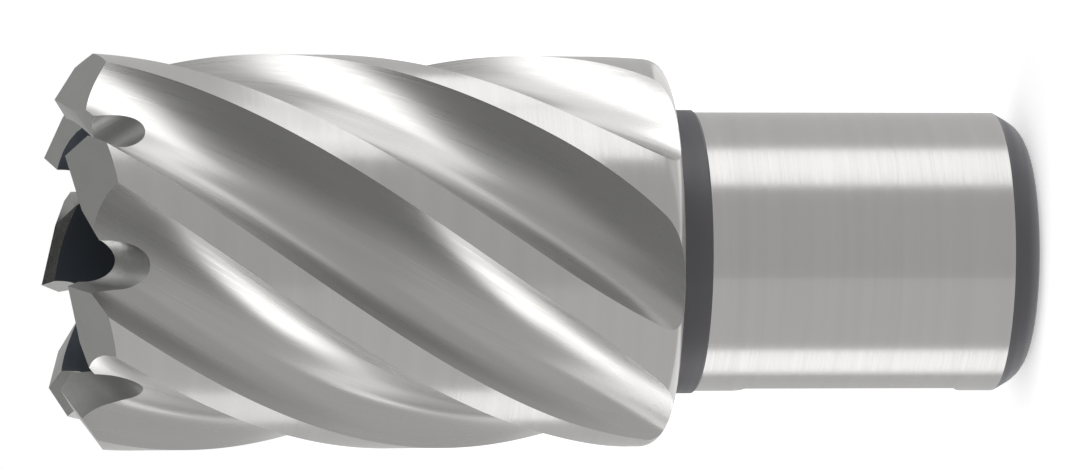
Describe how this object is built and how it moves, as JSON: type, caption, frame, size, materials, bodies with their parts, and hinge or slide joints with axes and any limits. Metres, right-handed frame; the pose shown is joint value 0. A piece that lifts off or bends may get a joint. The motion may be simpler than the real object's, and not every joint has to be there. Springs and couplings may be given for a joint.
{
  "type": "annular cutter",
  "caption": "Hollow fluted hole cutter with ground teeth round its rim, on a plain round shank with flats and a through hole for a pilot pin.",
  "frame": {"origin": "centre of the shank's end face, on which the cutter stands", "axes": "+Z along the cutter's axis from the shank's end to the teeth; +X towards the cutting edge of one tooth"},
  "size_m": [0.0269, 0.027, 0.0665],
  "materials": {
    "tool_steel": "ground bright, with dark unground skin at the shank's root and end"
  },
  "bodies": {
    "root": {"cutter": "tool_steel"}
  },
  "joints": []
}
